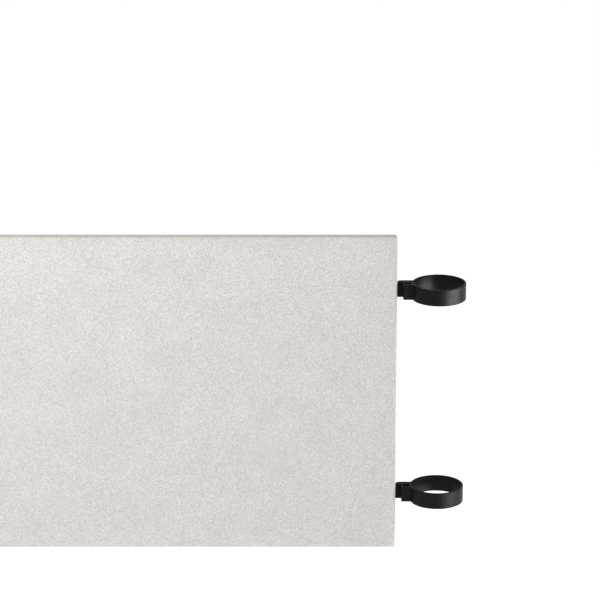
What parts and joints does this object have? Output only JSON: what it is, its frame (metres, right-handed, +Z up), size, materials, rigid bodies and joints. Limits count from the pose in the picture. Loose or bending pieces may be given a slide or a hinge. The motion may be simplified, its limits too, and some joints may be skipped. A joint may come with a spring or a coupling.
{
  "type": "desk privacy panel",
  "caption": "Fabric-covered board that hangs between two round desk legs on black plastic screw clamps with flat brackets.",
  "frame": {"origin": "midway between the two desk legs, on the plane through their axes, at the panel's mid-height", "axes": "+X along the panel to the right seen from the front, +Y from the front face to the back, +Z up"},
  "size_m": [1.5662, 0.0652, 0.4],
  "materials": {
    "cover_fabric": "matte melange",
    "board": "raw fibreboard",
    "black_nylon": "semi-gloss moulded",
    "zinc_steel": "zinc plated"
  },
  "bodies": {
    "panel": {"front_cover": "cover_fabric", "core_board": "board", "back_cover": "cover_fabric", "lower_left_bracket": "black_nylon", "lower_left_bracket_screws": "zinc_steel", "lower_left_rear_jaw": "black_nylon", "lower_right_bracket": "black_nylon", "lower_right_bracket_screws": "zinc_steel", "lower_right_rear_jaw": "black_nylon", "upper_left_bracket": "black_nylon", "upper_left_bracket_screws": "zinc_steel", "upper_left_rear_jaw": "black_nylon", "upper_right_bracket": "black_nylon", "upper_right_bracket_screws": "zinc_steel", "upper_right_rear_jaw": "black_nylon"},
    "lower_left_jaw": {"lower_left_front_jaw": "black_nylon", "lower_left_clamp_nut": "zinc_steel"},
    "lower_left_screw": {"lower_left_clamp_screw": "zinc_steel"},
    "lower_right_jaw": {"lower_right_front_jaw": "black_nylon", "lower_right_clamp_nut": "zinc_steel"},
    "lower_right_screw": {"lower_right_clamp_screw": "zinc_steel"},
    "upper_left_jaw": {"upper_left_front_jaw": "black_nylon", "upper_left_clamp_nut": "zinc_steel"},
    "upper_left_screw": {"upper_left_clamp_screw": "zinc_steel"},
    "upper_right_jaw": {"upper_right_front_jaw": "black_nylon", "upper_right_clamp_nut": "zinc_steel"},
    "upper_right_screw": {"upper_right_clamp_screw": "zinc_steel"}
  },
  "joints": [
    {"name": "lower_left_screw_draw", "type": "slide", "parent": "panel", "child": "lower_left_screw", "axis": [0, 1, 0], "range_m": [0, 0.06]},
    {"name": "lower_left_jaw_hinge", "type": "hinge", "parent": "panel", "child": "lower_left_jaw", "pos_m": [-0.78315, 0, -0.13], "axis": [0, 0, -1], "range_deg": [0, 60]},
    {"name": "lower_right_screw_draw", "type": "slide", "parent": "panel", "child": "lower_right_screw", "axis": [0, 1, 0], "range_m": [0, 0.06]},
    {"name": "lower_right_jaw_hinge", "type": "hinge", "parent": "panel", "child": "lower_right_jaw", "pos_m": [0.78315, 0, -0.13], "axis": [0, 0, 1], "range_deg": [0, 60]},
    {"name": "upper_left_screw_draw", "type": "slide", "parent": "panel", "child": "upper_left_screw", "axis": [0, 1, 0], "range_m": [0, 0.06]},
    {"name": "upper_left_jaw_hinge", "type": "hinge", "parent": "panel", "child": "upper_left_jaw", "pos_m": [-0.78315, 0, 0.13], "axis": [0, 0, -1], "range_deg": [0, 60]},
    {"name": "upper_right_screw_draw", "type": "slide", "parent": "panel", "child": "upper_right_screw", "axis": [0, 1, 0], "range_m": [0, 0.06]},
    {"name": "upper_right_jaw_hinge", "type": "hinge", "parent": "panel", "child": "upper_right_jaw", "pos_m": [0.78315, 0, 0.13], "axis": [0, 0, 1], "range_deg": [0, 60]}
  ],
  "couplings": [
    {"joint": "lower_left_jaw_hinge", "follows": "lower_left_screw_draw", "rad_per_m": 17.4},
    {"joint": "lower_right_jaw_hinge", "follows": "lower_right_screw_draw", "rad_per_m": 17.4},
    {"joint": "upper_left_jaw_hinge", "follows": "upper_left_screw_draw", "rad_per_m": 17.4},
    {"joint": "upper_right_jaw_hinge", "follows": "upper_right_screw_draw", "rad_per_m": 17.4}
  ]
}
